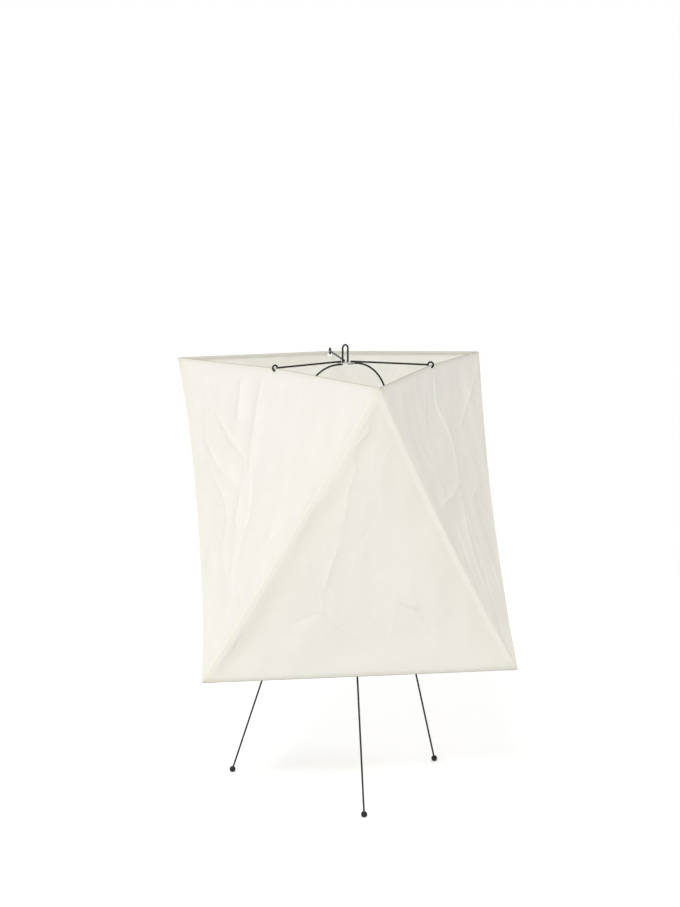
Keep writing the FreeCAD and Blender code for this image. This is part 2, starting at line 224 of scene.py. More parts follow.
def buildFloor(setup):
    reach = setup["floorReach"]
    corners = [(x * reach, y * reach, 0) for x, y in ((-1, -1), (1, -1), (1, 1), (-1, 1))]
    mesh = bpy.data.meshes.new("floor")
    mesh.from_pydata(corners, [], [(0, 1, 2, 3)])
    floor = bpy.data.objects.new("floor", mesh)
    scene.collection.objects.link(floor)
    material = bpy.data.materials.new("paleFloor")
    material.use_nodes = True
    tree = material.node_tree
    tree.nodes.remove(tree.nodes["Principled BSDF"])
    matt = addNode(tree, "ShaderNodeBsdfDiffuse")
    matt.inputs["Color"].default_value = (*setup["floorColour"], 1)
    direct = seenDirectly(tree)
    glow = addNode(tree, "ShaderNodeEmission")
    tree.links.new(math2(tree, "MULTIPLY", direct, setup["floorGlow"]), glow.inputs["Strength"])
    near = addNode(tree, "ShaderNodeAddShader")
    tree.links.new(matt.outputs[0], near.inputs[0])
    tree.links.new(glow.outputs[0], near.inputs[1])
    far = addNode(tree, "ShaderNodeEmission")
    tree.links.new(direct, far.inputs["Strength"])
    distance = addNode(tree, "ShaderNodeVectorMath", operation="LENGTH")
    tree.links.new(objectPlace(tree), distance.inputs[0])
    fade = remap(tree, distance.outputs["Value"], *setup["floorFade"])
    above = mixShaders(tree, math2(tree, "MULTIPLY", fade, direct), near, far)
    clear = addNode(tree, "ShaderNodeBsdfTransparent")  # seen from below
    under = addNode(tree, "ShaderNodeNewGeometry").outputs["Backfacing"]
    both = mixShaders(tree, under, above, clear)
    tree.links.new(both.outputs[0], tree.nodes["Material Output"].inputs["Surface"])
    mesh.materials.append(material)


def buildLamps(setup):
    for name, place, size, watts, colour in setup["lamps"]:
        data = bpy.data.lights.new(name, "AREA")
        data.size = size
        data.energy = watts
        data.color = colour
        lamp = bpy.data.objects.new(name, data)
        lamp.location = place
        aim = Vector(setup["aim"]) - Vector(place)
        lamp.rotation_mode = "QUATERNION"
        lamp.rotation_quaternion = aim.to_track_quat("-Z", "Y")
        scene.collection.objects.link(lamp)


buildWorld(stageLight)
buildFloor(stageLight)
buildLamps(stageLight)
print("stage and lamps ready")

# shared surface effects, noise scales per metre

fibreLook = {
    "clouds": (22, 75),
    "strands": 620,
    "strandRuns": ((1, 1, 0.10), (0.10, 0.6, 1), (0.6, 0.10, 1)),
    "strandWidth": 0.045,
    "patches": 130,  # where the strands lie thick
    "patchRange": (0.45, 0.7),
    "grain": 900,
    "heights": (0.6, 0.4),  # strands, grain
}
speckleLook = {
    "broad": 90,
    "broadRange": (0.45, 0.75),
    "broadHeight": 0.6,
    "fine": 1400,
    "fineRange": (0.4, 0.7, 0.3, 1.0),
}
brushLook = {
    "lines": 1500,
    "lineRun": (0.06, 1, 1),
    "stains": 160,
    "stainRange": (0.48, 0.8),
    "swing": 0.22,  # in roughness
}


def buildFibreGroup(look):
    tree, into, out = newGroup(
        "paperFibres",
        [("Place", "NodeSocketVector", (0, 0, 0)), ("Scale", "NodeSocketFloat", 1.0)],
        [("Cloud", "NodeSocketFloat"), ("Fibre", "NodeSocketFloat"), ("Height", "NodeSocketFloat")],
    )
    place = addNode(tree, "ShaderNodeVectorMath", operation="SCALE")
    tree.links.new(into.outputs["Place"], place.inputs[0])
    tree.links.new(into.outputs["Scale"], place.inputs["Scale"])
    spot = place.outputs[0]
    large, small = look["clouds"]
    cloud = math2(tree, "ADD", noiseAt(tree, spot, large, 3), noiseAt(tree, spot, small, 2))
    cloud = math2(tree, "MULTIPLY", cloud, 0.5)
    strands = []
    for run in look["strandRuns"]:
        wave = noiseAt(tree, spot, look["strands"], 2, 0.55, run)
        ridge = math2(tree, "ABSOLUTE", math2(tree, "SUBTRACT", wave, 0.5))
        strands.append(remap(tree, ridge, 0.0, look["strandWidth"], 1.0, 0.0))
    fibre = math2(tree, "MAXIMUM", math2(tree, "MAXIMUM", strands[0], strands[1]), strands[2])
    patch = remap(tree, noiseAt(tree, spot, look["patches"], 2), *look["patchRange"])
    fibre = math2(tree, "MULTIPLY", fibre, patch)
    strandHeight = math2(tree, "MULTIPLY", fibre, look["heights"][0])
    grainHeight = math2(tree, "MULTIPLY", noiseAt(tree, spot, look["grain"], 2), look["heights"][1])
    tree.links.new(cloud, out.inputs["Cloud"])
    tree.links.new(fibre, out.inputs["Fibre"])
    tree.links.new(math2(tree, "ADD", strandHeight, grainHeight), out.inputs["Height"])
    return tree


def buildSpeckleGroup(look):
    tree, into, out = newGroup(
        "skinSpeckle",
        [
            ("Place", "NodeSocketVector", (0, 0, 0)),
            ("Colour", "NodeSocketColor", (0.02, 0.02, 0.02, 1)),
            ("Dust", "NodeSocketColor", (0.1, 0.1, 0.1, 1)),
            ("Scale", "NodeSocketFloat", 1.0),
            ("Roughness", "NodeSocketFloat", 0.4),
            ("Spread", "NodeSocketFloat", 0.1),
        ],
        [("Colour", "NodeSocketColor"), ("Roughness", "NodeSocketFloat"), ("Height", "NodeSocketFloat")],
    )
    place = addNode(tree, "ShaderNodeVectorMath", operation="SCALE")
    tree.links.new(into.outputs["Place"], place.inputs[0])
    tree.links.new(into.outputs["Scale"], place.inputs["Scale"])
    broad = noiseAt(tree, place.outputs[0], look["broad"], 4)
    fine = noiseAt(tree, place.outputs[0], look["fine"], 2)
    patch = remap(tree, broad, *look["broadRange"])
    dust = math2(tree, "MULTIPLY", patch, remap(tree, fine, *look["fineRange"]))
    colour = blendColour(tree, dust, into.outputs["Colour"], into.outputs["Dust"])
    swing = math2(tree, "MULTIPLY", math2(tree, "SUBTRACT", broad, 0.5), into.outputs["Spread"])
    swing = math2(tree, "MULTIPLY", swing, 2.0)
    rough = math2(tree, "ADD", into.outputs["Roughness"], swing, clamp=True)
    height = math2(tree, "ADD", fine, math2(tree, "MULTIPLY", broad, look["broadHeight"]))
    tree.links.new(colour, out.inputs["Colour"])
    tree.links.new(rough, out.inputs["Roughness"])
    tree.links.new(height, out.inputs["Height"])
    return tree


def buildBrushGroup(look):
    tree, into, out = newGroup(
        "brushedMetal",
        [
            ("Place", "NodeSocketVector", (0, 0, 0)),
            ("Colour", "NodeSocketColor", (0.6, 0.6, 0.6, 1)),
            ("Stain", "NodeSocketColor", (0.4, 0.38, 0.35, 1)),
            ("Roughness", "NodeSocketFloat", 0.3),
        ],
        [("Colour", "NodeSocketColor"), ("Roughness", "NodeSocketFloat"), ("Height", "NodeSocketFloat")],
    )
    spot = into.outputs["Place"]
    lines = noiseAt(tree, spot, look["lines"], 2, 0.5, look["lineRun"])
    stain = remap(tree, noiseAt(tree, spot, look["stains"], 4), *look["stainRange"])
    colour = blendColour(tree, stain, into.outputs["Colour"], into.outputs["Stain"])
    swing = math2(tree, "ADD", math2(tree, "SUBTRACT", lines, 0.5), stain)
    swing = math2(tree, "MULTIPLY", swing, look["swing"])
    rough = math2(tree, "ADD", into.outputs["Roughness"], swing, clamp=True)
    tree.links.new(colour, out.inputs["Colour"])
    tree.links.new(rough, out.inputs["Roughness"])
    tree.links.new(lines, out.inputs["Height"])
    return tree


fibreGroup = buildFibreGroup(fibreLook)
speckleGroup = buildSpeckleGroup(speckleLook)
brushGroup = buildBrushGroup(brushLook)

# finishes

paperLook = {
    "sheet": (0.876, 0.863, 0.845),
    "cloud": (0.892, 0.881, 0.866),
    "cloudRange": (0.36, 0.64),
    "shadeWarm": (0.822, 0.809, 0.757),  # painted shade tint, yellower and darker, mixed in by each panel's share: least on the lit left panel
    "warmReach": 0.055,  # metres from a seam
    "warmFar": 0.55,  # share of it left beyond that
    "doubled": (0.896, 0.884, 0.826),
    "doubledShare": 0.9,
    "corner": (0.858, 0.843, 0.752),
    "cornerReach": (0.004, 0.016),
    "lapEdge": (0.832, 0.820, 0.768),
    "lapEdgeLine": (0.0003, 0.0010, 0.45),  # half width, where it ends, share
    # painted grey: the wire showing through the hem, and painted shade on the hem tube's shaded side
    "wireShowAndShade": (0.450, 0.435, 0.370),
    "fibre": (0.95, 0.94, 0.9),
    "fibreShare": 0.16,
    "through": (0.90, 0.887, 0.800),
    "throughDouble": (0.87, 0.852, 0.748),
    "throughShare": 0.36,
    "lap": 0.0070,  # glued strip each side of a seam
    "turn": 0.0018,  # paper turned in past a frame wire
    "edgeSoft": 0.0006,
    "ragged": 0.002,  # how far a torn edge wanders
    "raggedScale": 260,
    "rough": 0.82,
    "specular": 0.22,
    "fibreHeight": 0.35,
    "doubledHeight": 0.4,
    "bumpDepth": 0.0003,
    "bumpStrength": 0.7,
}


def meshValue(tree, name):
    return addNode(tree, "ShaderNodeAttribute", attribute_name=name).outputs["Fac"]


def buildPaper(look):
    material, tree, shader = newMaterial("ivoryPaper")
    place = objectPlace(tree)
    fibres = useGroup(tree, fibreGroup, Place=place, Scale=1.0)
    ragged = math2(tree, "SUBTRACT", noiseAt(tree, place, look["raggedScale"], 2), 0.5)
    ragged = math2(tree, "MULTIPLY", ragged, look["ragged"])
    seamEdge = math2(tree, "ADD", meshValue(tree, "seamGap"), ragged)
    hemEdge = math2(tree, "ADD", meshValue(tree, "hemGap"), ragged)
    soft = look["edgeSoft"]
    seamBand = remap(tree, seamEdge, look["lap"] - soft, look["lap"] + soft, 1.0, 0.0)
    hemBand = remap(tree, hemEdge, look["turn"] - soft, look["turn"] + soft, 1.0, 0.0)
    double = math2(tree, "MAXIMUM", seamBand, hemBand)
    triple = math2(tree, "MULTIPLY", seamBand, remap(tree, hemEdge, *look["cornerReach"], 1.0, 0.0))

    cloud = remap(tree, fibres.outputs["Cloud"], *look["cloudRange"])
    colour = blendColour(tree, cloud, look["sheet"], look["cloud"])
    # painted shade tint: strongest near seams, scaled per panel, least on the lit left panel
    shadeTint = remap(tree, seamEdge, 0.0, look["warmReach"], 1.0, look["warmFar"])
    shadeTint = math2(tree, "MULTIPLY", meshValue(tree, "panelShadeTint"), shadeTint)
    colour = blendColour(tree, shadeTint, colour, look["shadeWarm"])
    doubled = math2(tree, "MULTIPLY", double, look["doubledShare"])
    colour = blendColour(tree, doubled, colour, look["doubled"])
    colour = blendColour(tree, triple, colour, look["corner"])
    fromEdge = math2(tree, "ABSOLUTE", math2(tree, "SUBTRACT", seamEdge, look["lap"]))
    lapLine = remap(tree, fromEdge, *look["lapEdgeLine"], 0.0)
    colour = blendColour(tree, lapLine, colour, look["lapEdge"])
    # wire showing through the hem and painted shade on the tube
    colour = blendColour(tree, meshValue(tree, "wireShowAndShade"), colour, look["wireShowAndShade"])
    fibreTint = math2(tree, "MULTIPLY", fibres.outputs["Fibre"], look["fibreShare"])
    colour = blendColour(tree, fibreTint, colour, look["fibre"])
    tree.links.new(colour, shader.inputs["Base Color"])
    shader.inputs["Roughness"].default_value = look["rough"]
    shader.inputs["Specular IOR Level"].default_value = look["specular"]

    fibreHeight = math2(tree, "MULTIPLY", fibres.outputs["Height"], look["fibreHeight"])
    step = math2(tree, "MULTIPLY", double, look["doubledHeight"])
    height = math2(tree, "ADD", fibreHeight, step)
    bump = bumpFrom(tree, height, look["bumpDepth"], look["bumpStrength"])
    tree.links.new(bump, shader.inputs["Normal"])
    through = addNode(tree, "ShaderNodeBsdfTranslucent")
    throughColour = blendColour(tree, double, look["through"], look["throughDouble"])
    tree.links.new(throughColour, through.inputs["Color"])
    tree.links.new(bump, through.inputs["Normal"])
    mix = mixShaders(tree, look["throughShare"], shader, through)
    tree.links.new(mix.outputs[0], tree.nodes["Material Output"].inputs["Surface"])
    return material


finishes = {  # speckled skins: colour, dust, scale, roughness, spread, bump in metres
    "blackEnamel": ((0.010, 0.010, 0.011), (0.024, 0.024, 0.025), 1.0, 0.46, 0.10, 0.00004),
    "blackPlate": ((0.015, 0.015, 0.016), (0.04, 0.04, 0.042), 0.6, 0.42, 0.12, 0.00005),
    "frameEnamel": ((0.55, 0.54, 0.51), (0.42, 0.41, 0.38), 1.0, 0.45, 0.10, 0.00003),
    "blackRubber": ((0.012, 0.012, 0.012), (0.05, 0.05, 0.05), 1.6, 0.68, 0.12, 0.00009),
    "phenolic": ((0.016, 0.015, 0.014), (0.045, 0.042, 0.04), 0.8, 0.30, 0.12, 0.00003),
    "glazedCeramic": ((0.80, 0.78, 0.72), (0.66, 0.63, 0.56), 0.8, 0.22, 0.08, 0.00004),
    "blackVitrite": ((0.01, 0.01, 0.012), (0.03, 0.03, 0.03), 1.0, 0.15, 0.06, 0.00002),
    "opalGlass": ((0.90, 0.895, 0.87), (0.86, 0.855, 0.83), 0.25, 0.16, 0.04, 0.00001),
}
metals = {  # colour, stain, roughness, bump in metres
    "zincPlate": ((0.66, 0.66, 0.65), (0.50, 0.50, 0.49), 0.34, 0.00002),
    "plainBrass": ((0.72, 0.52, 0.22), (0.42, 0.27, 0.10), 0.30, 0.00002),
    "capAluminium": ((0.72, 0.72, 0.73), (0.55, 0.55, 0.55), 0.32, 0.00002),
}
skinSpecular = 0.32  # on every speckled skin


def buildSkin(name, values):
    colour, dust, scale, rough, spread, depth = values
    material, tree, shader = newMaterial(name)
    place = objectPlace(tree)
    skin = useGroup(tree, speckleGroup, Place=place, Colour=colour, Dust=dust, Scale=scale)
    setSocket(tree, skin.inputs["Roughness"], rough)
    setSocket(tree, skin.inputs["Spread"], spread)
    shader.inputs["Specular IOR Level"].default_value = skinSpecular
    tree.links.new(skin.outputs["Colour"], shader.inputs["Base Color"])
    tree.links.new(skin.outputs["Roughness"], shader.inputs["Roughness"])
    tree.links.new(bumpFrom(tree, skin.outputs["Height"], depth), shader.inputs["Normal"])
    return material


def buildMetal(name, values):
    colour, stain, rough, depth = values
    material, tree, shader = newMaterial(name)
    brush = useGroup(tree, brushGroup, Place=objectPlace(tree), Colour=colour, Stain=stain, Roughness=rough)
    shader.inputs["Metallic"].default_value = 1.0
    tree.links.new(brush.outputs["Colour"], shader.inputs["Base Color"])
    tree.links.new(brush.outputs["Roughness"], shader.inputs["Roughness"])
    tree.links.new(bumpFrom(tree, brush.outputs["Height"], depth), shader.inputs["Normal"])
    return material


materials = {"ivoryPaper": buildPaper(paperLook)}
for finishName, finishValues in finishes.items():
    materials[finishName] = buildSkin(finishName, finishValues)
for finishName, finishValues in metals.items():
    materials[finishName] = buildMetal(finishName, finishValues)
print("finishes ready:", len(materials))

slotFinish = {
    "paper": "ivoryPaper",
    "frame_wire": "frameEnamel",
    "black_wire": "blackEnamel",
    "black_plate": "blackPlate",
    "steel": "zincPlate",
    "rubber": "blackRubber",
    "holder": "phenolic",
    "ceramic_insert": "glazedCeramic",
    "brass": "plainBrass",
    "opal_glass": "opalGlass",
    "cap_metal": "capAluminium",
    "black_glass": "blackVitrite",
}
for row in frame["record"]["subparts"]:
    dressed = nodes[row["node"]]
    if not dressed.material_slots:
        dressed.data.materials.append(None)
    for place in dressed.material_slots:
        place.material = materials[slotFinish[row["material_slot"]]]

# paper shade

shade = {
    "frameSide": 0.400,
    "baseHeight": 0.171,
    "height": 0.377,
    "topLift": 0.0048,  # peak in the middle of a top wire
    "liftReach": 0.055,
    "seamBow": 0.0095,
    "rows": 224,
    "hemRadius": 0.0013,
    "hemBlend": 0.060,  # height over which the sheet comes back to its own plane
    "hemSteps": 8,
    "turnSteps": 5,
    "turnGap": 0.0003,  # least room behind the turned edge
    "turnClose": 0.006,
    "turnTrim": 0.0012,  # turned edge cut short at its ends
    "wireAndShadeRows": ((2, 3, 4, 5), (1, 2, 3, 4)),  # hem rows painted darker where the wire shows through and with painted shade on the tube's shaded side, top and bottom
    "hemShade": (0.0, 0.20),  # painted shade line along the glued edge just past the wire, top and bottom
    "hemReach": 0.0040,
    "hemSoft": 0.001,
    "bareCorner": 0.0030,  # hem cut back where the wires meet
    "cutLap": 0.002,  # flat sheet past each end of its wire
    "notchHalf": 0.0030,
    "notchDepth": 0.0060,
    "notchRoom": (0.012, 0.03),  # columns make way for the notch this far aside and up
    "notchSlip": 1e-5,
    "seamTurn": 0.012,
    "seamWave": 0.0005,
    "waveNoise": ((34, 3.1, 0.6), (90, 7.7, 0.25)),  # scale, shift, share
    "waveEnds": 0.05,
    "waveReach": 0.03,
    "slackSeams": {(0, 300): 0.0037},  # top and bottom corner in degrees, how far out the seam hangs
    "slackReach": 0.10,
    "lapStep": 0.00025,
    "lapSoft": 0.004,
    "seamTuck": (0.0012, 0.0026),  # how far a falling and a rising sheet sink beside a seam
    "tuckPlace": (0.026, 0.015),  # distance from the seam, width
    "tuckNoise": (16, 9.3, 0.6),  # scale, shift, middle
    "swells": ((9, 0, 0.0042), (21, 5, 0.0018)),  # scale, shift past the seed, height
    "streak": 0.0014,  # upright soft folds all over
    "streakScale": (38, 5),  # across, up
    "streakShift": 0.5,
    "foldGain": 3.4,
    "foldEnds": (0.02, 0.6),  # how bluntly a fold starts and stops
    "crest": (0.30, 2.0),  # share and width in mm of the sharp line on a fold
    "calmSeam": 0.016,  # folds die out nearer to a seam
    "calmHem": (0.020, 0.036),  # and nearer to a wire, top and bottom
    "calmWire": 0.002,
}
cornerRadius = shade["frameSide"] / math.sqrt(3)
edgeRadius = cornerRadius / 2
panelBow = shade["seamBow"] * math.cos(math.radians(30))
shadeTop = shade["baseHeight"] + shade["height"]
shadeMiddle = shade["baseHeight"] + shade["height"] / 2
panelLength = 0.3947  # along the sheet, from wire to far corner
seamLean = math.atan(shade["frameSide"] / 2 / panelLength)

# folds on the sheet: points (across, up from the wire) in mm, rise in mm, width before and after in mm
leftFolds = [
    ([(-102, 63), (-60, 91), (-18, 117)], 1.2, 8, 4),
    ([(-18, 13), (-13, 62), (-14, 103), (-14, 128)], 1.7, 16, 12),
    ([(-24, 0), (-6, 71), (-14, 110), (4, 220)], 0.7, 62, 14),
    ([(-63, 9), (-53, 40), (-49, 73)], 1.3, 13, 8),
    ([(-20, 128), (-22, 151), (-19, 189), (-7, 205), (-3, 231), (3, 290)], 0.9, 8, 5),
    ([(-9, 118), (-3, 148), (4, 186), (4, 232), (5, 255)], -0.6, 5, 8),
    ([(-129, 49), (-112, 98), (-75, 130), (-28, 151)], 0.8, 8, 6),
    ([(-103, 111), (-86, 137), (-51, 166), (-36, 191), (-25, 244), (-2, 274)], 0.7, 7, 6),
    ([(26, 206), (44, 218)], 0.4, 4, 6),
]
frontFolds = [
    ([(-154, 73), (-164, 44), (-187, 20)], 0.5, 4, 7),
    ([(-150, 63), (-169, 33)], -0.5, 4, 6),
    ([(-8, 358), (-9, 338), (-27, 317), (-42, 293)], 0.6, 5, 5),
    ([(-27, 317), (-22, 289), (-29, 261), (-32, 218), (-35, 193)], 0.8, 9, 11),
    ([(-35, 195), (-39, 174), (-46, 152), (-52, 121)], 1.0, 6, 4),
    ([(-20, 172), (-11, 154), (0, 141)], 0.7, 4, 6),
    ([(-8, 178), (-2, 160)], 0.4, 3, 5),
    ([(-56, 178), (-44, 168)], 0.5, 4, 5),
    ([(-58, 127), (-52, 92), (-34, 72), (-4, 49)], 0.7, 8, 6),
    ([(-52, 92), (-69, 85), (-94, 75)], -0.6, 5, 6),
    ([(40, 118), (47, 98), (68, 86), (80, 67), (91, 45)], -1.0, 5, 7),
    ([(40, 112), (38, 81), (36, 52)], 0.5, 6, 6),
    ([(14, 140), (33, 121)], 0.6, 5, 6),
    ([(-86, 170), (-69, 153)], 0.5, 5, 6),
]
rightFolds = [
    ([(7, 0), (-10, 43), (4, 91), (-1, 129), (-5, 155)], 1.2, 11, 16),
    ([(-5, 155), (-14, 200), (-24, 237), (-14, 278), (-16, 331)], 0.9, 8, 9),
    ([(-49, 198), (-44, 245), (-34, 308)], -0.7, 7, 7),
    ([(14, 225), (31, 259), (25, 313)], -0.6, 6, 8),
    ([(-94, 167), (-40, 161), (9, 146)], 0.8, 7, 7),
    ([(-109, 82), (-81, 124), (-61, 150)], 0.7, 8, 6),
    ([(82, 158), (18, 179)], 0.6, 6, 8),
    ([(191, 10), (122, 49), (54, 90)], 0.9, 9, 14),
    ([(-40, 28), (-84, 80)], 0.5, 8, 8),
    ([(-31, 348), (-5, 386)], 0.4, 3, 4),
]
panels = [  # node, direction in degrees, rises from the lower wire, folds, seed, share of the painted shade tint on the sheet
    ("rising_panel_rear", 0, True, [], 11, 0.6),
    ("rising_panel_left", 120, True, [], 23, 0.6),
    ("rising_panel_front", 240, True, frontFolds, 37, 1.0),
    ("falling_panel_back", 60, False, [], 41, 0.5),
    ("falling_panel_left", 180, False, leftFolds, 53, 0.1),
    ("falling_panel_right", 300, False, rightFolds, 67, 0.5),
]
creases = {  # small folds from fixed seeds, lengths in mm
    "many": 36,
    "up": (15, 340),
    "half": 200,
    "tall": 395,
    "margin": 12,
    "lean": (35, 88),  # degrees
    "long": (18, 75),
    "rise": (0.14, 0.52),
    "width": (3, 10),
    "bend": 0.12,  # share of the length
    "big": 5,  # more of them on a panel with no drawn folds
    "bigLong": (60, 130),
    "bigRise": (0.5, 1.1),
    "bigWide": 2.2,
    "beside": 0.5,  # share of the rise left beside drawn folds
}


def smoothStep(low, high, value):
    share = np.clip((value - low) / (high - low), 0, 1)
    return share * share * (3 - 2 * share)


def panelRadius(share):
    return edgeRadius * (1 + share) - 4 * panelBow * share * (1 - share)


def panelSlope(share):
    return edgeRadius - 4 * panelBow * (1 - 2 * share)


def panelHalf(share):
    return shade["frameSide"] / 2 * (1 - share) * (1 - 8 * panelBow / (3 * cornerRadius) * share)


def wireHeight(rising):
    return shade["baseHeight"] if rising else shadeTop


def wireLift(rising):
    return 0.0 if rising else shade["topLift"]


def unit(rows):
    return rows / np.maximum(np.linalg.norm(rows, axis=1, keepdims=True), 1e-12)


def randomFolds(seed, bare):
    draw = random.Random(seed)
    found = []
    for k in range(creases["many"] + (creases["big"] if bare else 0)):
        big = k >= creases["many"]
        up = draw.uniform(*creases["up"])
        room = creases["half"] * (1 - up / creases["tall"]) - creases["margin"]
        across = draw.uniform(-1, 1) * room
        lean = math.radians(draw.choice((-1, 1)) * draw.uniform(*creases["lean"]))
        long = draw.uniform(*creases["bigLong" if big else "long"])
        rise = draw.uniform(*creases["bigRise" if big else "rise"]) * draw.choice((1, 1, -1))
        rise *= 1.0 if bare else creases["beside"]
        bend = draw.uniform(-creases["bend"], creases["bend"]) * long
        middle = (across + bend * math.sin(lean), up - bend * math.cos(lean))
        reach = (math.cos(lean) * long / 2, math.sin(lean) * long / 2)
        line = [(across - reach[0], up - reach[1]), middle, (across + reach[0], up + reach[1])]
        wide = creases["bigWide"] if big else 1.0
        before = draw.uniform(*creases["width"]) * wide
        after = draw.uniform(*creases["width"]) * wide
        found.append((line, rise, before, after))
    return found


def foldHeight(across, up, folds):
    total = np.zeros(len(across))
    spot = np.stack([across, up], 1) * 1000
    sharp, narrow = shade["crest"]
    blunt, power = shade["foldEnds"]
    for line, rise, before, after in folds:
        points = np.array(line, float)
        runs = points[1:] - points[:-1]
        lengths = np.linalg.norm(runs, axis=1)
        whole = lengths.sum()
        best = np.full(len(spot), np.inf)
        side = np.zeros(len(spot))
        along = np.zeros(len(spot))
        done = 0.0
        for start, run, length in zip(points[:-1], runs, lengths):
            away = spot - start
            share = np.clip(away @ run / length**2, 0, 1)
            gap = away - share[:, None] * run
            far = np.hypot(gap[:, 0], gap[:, 1])
            closer = far < best
            best = np.where(closer, far, best)
            side = np.where(closer, run[0] * away[:, 1] - run[1] * away[:, 0], side)
            along = np.where(closer, (done + share * length) / whole, along)
            done += length
        width = np.where(side > 0, before, after)
        ends = np.sin(np.pi * np.clip(along, blunt, 1 - blunt)) ** power
        total += rise * ends * ((1 - sharp) * np.exp(-best / width) + sharp * np.exp(-best / narrow))
    return total / 1000


def toWorld(local, angle):
    turn = math.radians(angle)
    x = local[:, 0] * math.cos(turn) - local[:, 1] * math.sin(turn)
    y = local[:, 0] * math.sin(turn) + local[:, 1] * math.cos(turn)
    return np.stack([x, y, local[:, 2]], 1)


def noiseRows(points, scale, shift):
    return np.array([noise.noise(Vector(p) * scale + Vector((shift, 0, 0))) for p in points])


def noiseSum(points, layers):
    return sum(noiseRows(points, scale, shift) * share for scale, shift, share in layers)


def seamEnds(angle, rising, end):
    foot = angle + 60 * end
    return (angle % 360, foot % 360) if rising else (foot % 360, angle % 360)


def gridPanel(rising):
    rows = shade["rows"]
    share, across, nearest = [], [], []
    for row in range(rows + 1):
        count = rows - row
        half = panelHalf(row / rows)
        share += [row / rows] * (count + 1)
        across += [half * (2 * k / count - 1) if count else 0.0 for k in range(count + 1)]
        nearest += [half * (2 - count % 2) / max(count, 1)] * (count + 1)  # column next to the middle
    share, across, nearest = np.array(share), np.array(across), np.array(nearest)
    if not rising:  # columns stand back from the eyelet's notch
        aside, above = shade["notchRoom"]
        fade = np.exp(-(np.abs(across) - nearest) / aside)
        fade *= np.clip(1 - share * panelLength / above, 0, 1)
        push = (shade["notchHalf"] - nearest) * fade
        across = across + np.sign(across) * np.where(np.abs(across) < 1e-6, 0, push)
    return share, across


def shapeSheet(angle, rising, folds, seed, share, across):
    way = 1 if rising else -1
    base = wireHeight(rising)
    height = shade["height"]
    up = share * panelLength
    fromEnds = np.minimum(up, panelLength - up)
    half = np.maximum(panelHalf(share), 1e-9)
    slope = panelSlope(share)
    flat = np.zeros(len(share))
    ground = np.stack([panelRadius(share), across, base + way * height * share], 1)
    tangent = unit(np.stack([slope, flat, flat + way * height], 1))
    normal = unit(np.stack([flat + height, flat, -way * slope], 1))
    seamGap = (half - np.abs(across)) * math.cos(seamLean)

    centre = np.array([0, 0, shadeMiddle])  # two sheets meet on the plane through here and their seam
    apex = np.array([cornerRadius, 0, base + way * height]) - centre
    side = np.where(across < 0, -1.0, 1.0)
    nudge = 1e-4
    halfSlope = (panelHalf(share + nudge) - panelHalf(share - nudge)) / (2 * nudge)
    seamRun = np.stack([slope, side * halfSlope, flat + way * height], 1)
    corner = np.stack([flat + edgeRadius, side * shade["frameSide"] / 2, flat + base], 1) - centre
    bisector = unit(np.cross(np.cross(apex, corner), seamRun))
    bisector *= np.sign((bisector * (ground - centre)).sum(1))[:, None]

    offset = shade["hemRadius"] * (1 - smoothStep(0, shade["hemBlend"], fromEnds))
    inward = smoothStep(0, shade["seamTurn"], seamGap)[:, None]
    direction = unit(bisector * (1 - inward) + normal * inward)
    peak = wireLift(rising) * (1 - np.abs(across) / half)
    peak *= np.clip(1 - up / shade["liftReach"], 0, 1) ** 2
    sheet = ground + direction * offset[:, None] - tangent[:1] * peak[:, None]

    world = toWorld(ground, angle)
    wave = shade["seamWave"] * noiseSum(world, shade["waveNoise"])
    wave *= smoothStep(0, shade["waveEnds"], fromEnds)
    wave *= 1 - smoothStep(0, shade["waveReach"], seamGap)
    slack = [shade["slackSeams"].get(seamEnds(angle, rising, end), 0.0) for end in (-1, 1)]
    hang = np.where(side < 0, *slack) * (1 - (2 * share - 1) ** 4)
    hang *= 1 - smoothStep(0, shade["slackReach"], seamGap)
    sheet += bisector * (wave + hang)[:, None]

    swell = noiseSum(world, [(scale, seed + shift, tall) for scale, shift, tall in shade["swells"]])
    crumple = foldHeight(across, up, folds + randomFolds(seed, not folds)) * shade["foldGain"]
    acrossScale, upScale = shade["streakScale"]
    upright = np.stack([across * acrossScale, up * upScale, flat + seed], 1)
    crumple += shade["streak"] * noiseRows(upright, 1, shade["streakShift"])
    place, width = shade["tuckPlace"]
    scale, shift, middle = shade["tuckNoise"]
    tuck = shade["seamTuck"][rising] * np.exp(-(((seamGap - place) / width) ** 2))
    tuck *= middle + noiseRows(world, scale, shift)
    calm = smoothStep(0, shade["calmSeam"], seamGap)
    calm *= smoothStep(shade["calmWire"], shade["calmHem"][rising], up)
    lap = shade["lapStep"] * (seamGap < paperLook["lap"]) * smoothStep(0, shade["lapSoft"], seamGap)
    sheet += normal * ((swell + crumple - tuck) * calm + lap)[:, None]
    return sheet, seamGap, tangent[0], normal[0]


